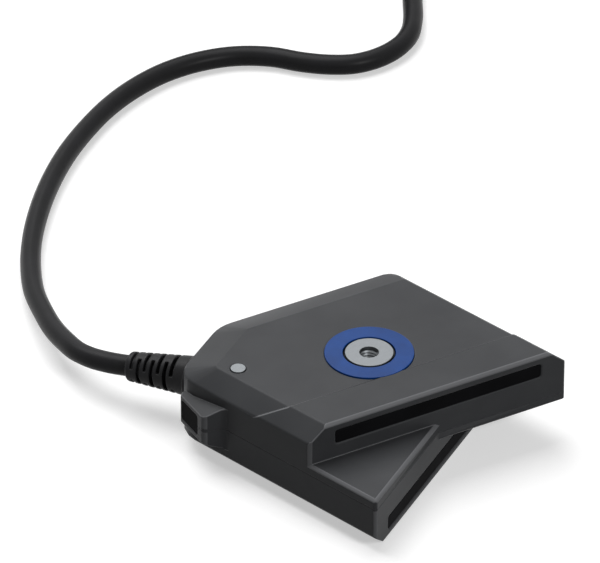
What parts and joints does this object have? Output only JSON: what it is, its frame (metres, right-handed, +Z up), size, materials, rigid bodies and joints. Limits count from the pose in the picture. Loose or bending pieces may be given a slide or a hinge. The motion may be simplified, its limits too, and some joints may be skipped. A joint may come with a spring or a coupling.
{
  "type": "sonar transducer",
  "caption": "Moulded sonar transducer with crossed upper and lower array bars, side window, threaded mount seat, slotted strain relief and coiled cable with a round plug.",
  "frame": {"origin": "on the flat base, straight below the axis of the mount thread", "axes": "+Z up along the mount thread, -Y the way the two array faces look, +X to the side away from the cable and the side window"},
  "size_m": [0.4458, 0.5075, 0.045],
  "materials": {
    "shell_plastic": "fine moulded grain, satin",
    "window_urethane": "cast, smooth",
    "boot_rubber": "moulded, satin",
    "cable_jacket": "extruded, satin",
    "strap_fabric": "woven",
    "seal_rubber": "moulded",
    "seat_plastic": "moulded, satin",
    "stainless": "brushed",
    "contact_brass": "plated",
    "ceramic": "fired",
    "resin": "cast",
    "circuit_board": "lacquered",
    "chip_plastic": "moulded",
    "flex_film": "smooth film"
  },
  "bodies": {
    "root": {"upper_shell": "shell_plastic", "lower_shell": "shell_plastic", "housing_seal": "seal_rubber", "housing_screws": "stainless", "upper_window": "window_urethane", "upper_matching": "resin", "upper_elements": "ceramic", "upper_backing": "resin", "upper_card": "circuit_board", "lower_window": "window_urethane", "lower_matching": "resin", "lower_elements": "ceramic", "lower_backing": "resin", "lower_card": "circuit_board", "side_window": "window_urethane", "side_element": "ceramic", "side_backing": "resin", "main_board": "circuit_board", "board_screws": "stainless", "board_chips": "chip_plastic", "shield_can": "stainless", "attitude_sensor": "chip_plastic", "upper_ribbon": "flex_film", "lower_ribbon": "flex_film", "ribbon_sockets": "chip_plastic", "cable_header": "chip_plastic", "cable_core": "flex_film", "mount_insert": "stainless", "mount_ring": "seat_plastic", "temperature_button": "stainless", "thermistor": "ceramic", "cable_boot": "boot_rubber", "cable_lead": "cable_jacket", "cable_coil": "cable_jacket", "coil_straps": "strap_fabric", "cable_tail": "cable_jacket", "plug_body": "boot_rubber", "plug_barrel": "chip_plastic", "plug_oring": "seal_rubber", "plug_insert": "boot_rubber", "plug_pins": "contact_brass"}
  },
  "joints": []
}
